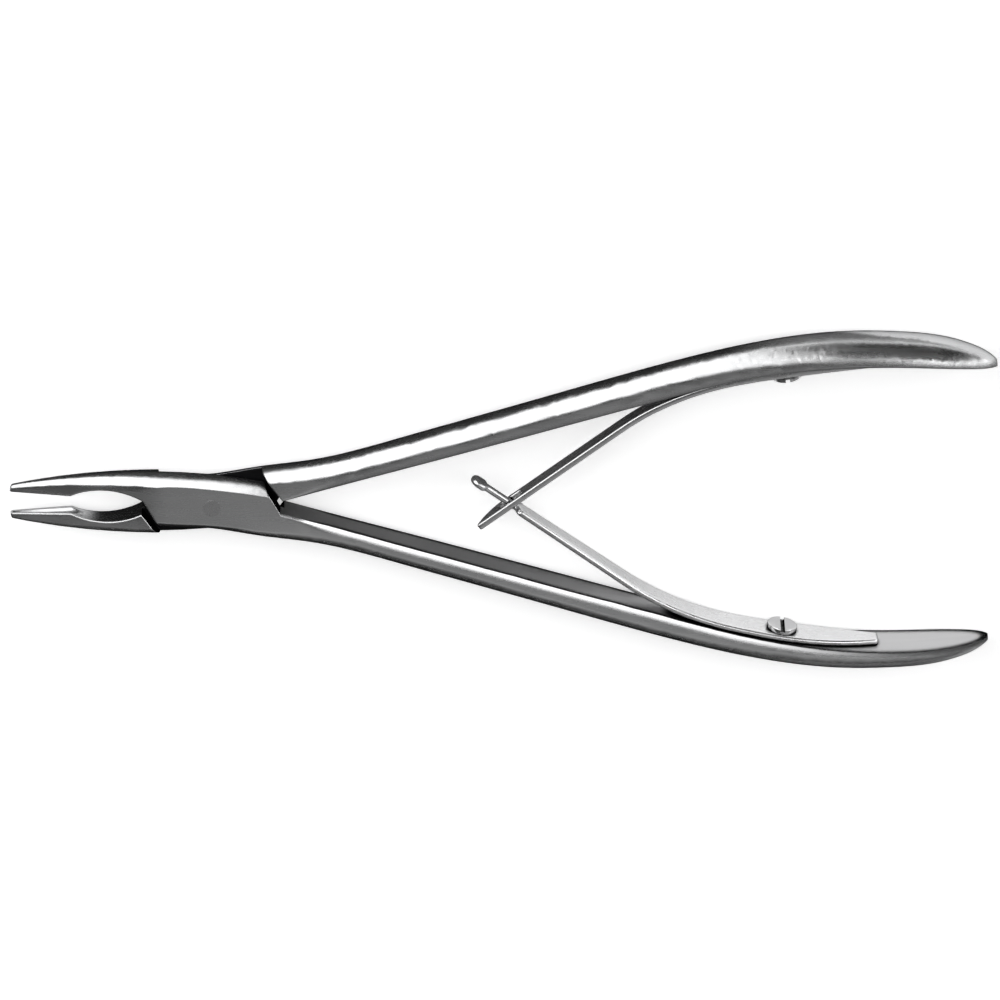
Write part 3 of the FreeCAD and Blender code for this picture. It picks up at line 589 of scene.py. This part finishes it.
# painted light: the hook leaf's steel is painted paler than the slotted leaf's, though both leaves are the
# same spring steel; the paler copy stands in for brighter reflections
litHookSteel = makeSteel("litHookSteel", dict(springLook, edge=0.2 * mm, dark=(0.76, 0.76, 0.765, 1),
                                        pale=(0.88, 0.88, 0.885, 1)))
slottedSteel = makeSteel("slottedSteel", dict(springLook, edge=0.15 * mm, dark=(0.6, 0.6, 0.605, 1),
                                              pale=(0.74, 0.74, 0.745, 1)))
screwSteel = makeSteel("screwSteel", {
    "marksScale": 900, "stretch": 1, "roughLow": 0.16, "roughHigh": 0.26, "bump": 0.2, "edge": 0.1 * mm,
    "dark": (0.58, 0.58, 0.585, 1), "pale": (0.7, 0.7, 0.705, 1),
    "hollowReach": 0.8 * mm, "hollowDark": 0.55, "hollowLight": 0.92,
})
rivetSteel = makeSteel("rivetSteel", {
    "marksScale": 1200, "stretch": 1, "roughLow": 0.22, "roughHigh": 0.3, "bump": 0.2, "edge": 0.02 * mm,
    "dark": (0.5, 0.5, 0.505, 1), "pale": (0.62, 0.62, 0.625, 1),
})
print("steels made")


def mergedCopy(node):
    # a copy of a CAD piece's mesh with its loose triangles merged; the CAD object itself stays as it is
    bm = bmesh.new()
    bm.from_mesh(nodes[node].data)
    bmesh.ops.remove_doubles(bm, verts=bm.verts, dist=0.002 * mm)
    for face in bm.faces:
        face.material_index = 0
    return bm


def sharpEdges(bm, angle):
    return [e for e in bm.edges if len(e.link_faces) == 2 and degrees(e.calc_face_angle(0)) > angle]


def finishPiece(name, bm, material, replaced, sharpAngle):
    for face in bm.faces:
        face.smooth = True
    for edge in bm.edges:
        edge.smooth = True
    for edge in sharpEdges(bm, sharpAngle):
        edge.smooth = False
    mesh = bpy.data.meshes.new(name)
    bm.to_mesh(mesh)
    bm.free()
    mesh.materials.append(material)
    piece = bpy.data.objects.new(name, mesh)
    scene.collection.objects.link(piece)
    weighted = piece.modifiers.new("flatFacesStayFlat", "WEIGHTED_NORMAL")
    weighted.mode = "FACE_AREA_WITH_ANGLE"
    weighted.weight = 50
    weighted.keep_sharp = True
    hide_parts(replaced)
    return piece


def makeLever(name, node, material, body):
    piece = finishPiece(name, mergedCopy(node), material, node, sharpAngle=30)
    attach(piece, body)
    return piece


def roundEdges(bm, angle, width, segments, clamp):
    # the flat facets are joined first, so that the rounding runs on along each whole edge
    bmesh.ops.dissolve_limit(bm, angle_limit=radians(0.6), verts=bm.verts, edges=bm.edges,
                             use_dissolve_boundaries=False)
    bmesh.ops.bevel(bm, geom=sharpEdges(bm, angle), offset=width, offset_type="OFFSET", segments=segments,
                    profile=0.5, affect="EDGES", clamp_overlap=clamp, material=-1)


leafSettings = {
    "segments": 4,           # of the rounding of the leaf's edges
    "sections": 46,          # cuts across the leaf
    "hookEdge": 0.4 * mm, "slottedEdge": 0.25 * mm,
    "rootX": 75 * mm, "rootY": 18.5 * mm,   # near the screw
    "farX": 9.4 * mm, "farY": 18.5 * mm,    # past the hooked crossing
}


def makeLeaf(name, node, material, edge):
    # the leaf is screwed to one lever and its other end is hooked into the other
    bm = mergedCopy(node)
    roundEdges(bm, 40, edge, leafSettings["segments"], clamp=False)
    low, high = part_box(node)
    count = leafSettings["sections"]
    for i in range(1, count):
        place = low.lerp(high, i / count)
        bmesh.ops.bisect_plane(bm, geom=bm.verts[:] + bm.edges[:] + bm.faces[:], dist=0.0005 * mm,
                               plane_co=(place.x, 0, 0), plane_no=(1, 0, 0))
    bmesh.ops.triangulate(bm, faces=[f for f in bm.faces if len(f.verts) > 4])
    piece = finishPiece(name, bm, material, node, sharpAngle=38)
    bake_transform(piece)
    return piece


screwSettings = {
    "edge": 0.09 * mm,
    "segments": 3,
}


def makeScrew(name, node, body):
    bm = mergedCopy(node)
    roundEdges(bm, 50, screwSettings["edge"], screwSettings["segments"], clamp=True)
    piece = finishPiece(name, bm, screwSteel, node, sharpAngle=38)
    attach(piece, body)
    return piece


upperSide = "upper_jaw_side"
lowerSide = "lower_jaw_side"
makeLever("polished_upper_jaw_lever", "upper_jaw_lever", upperJawSteel, upperSide)
makeLever("polished_lower_jaw_lever", "lower_jaw_lever", lowerJawSteel, lowerSide)
print("levers made")
rivet = finishPiece("flush_rivet", mergedCopy("pivot_rivet"), rivetSteel, "pivot_rivet", 30)
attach(rivet, upperSide)
makeScrew("lower_cheese_head_screw", "lower_spring_screw", upperSide)
makeScrew("upper_cheese_head_screw", "upper_spring_screw", lowerSide)
print("screws and rivet made")
makeLeaf("hook_leaf", "lower_leaf_spring", litHookSteel, leafSettings["hookEdge"])
makeLeaf("slotted_leaf", "upper_leaf_spring", slottedSteel, leafSettings["slottedEdge"])
print("leaf springs made")
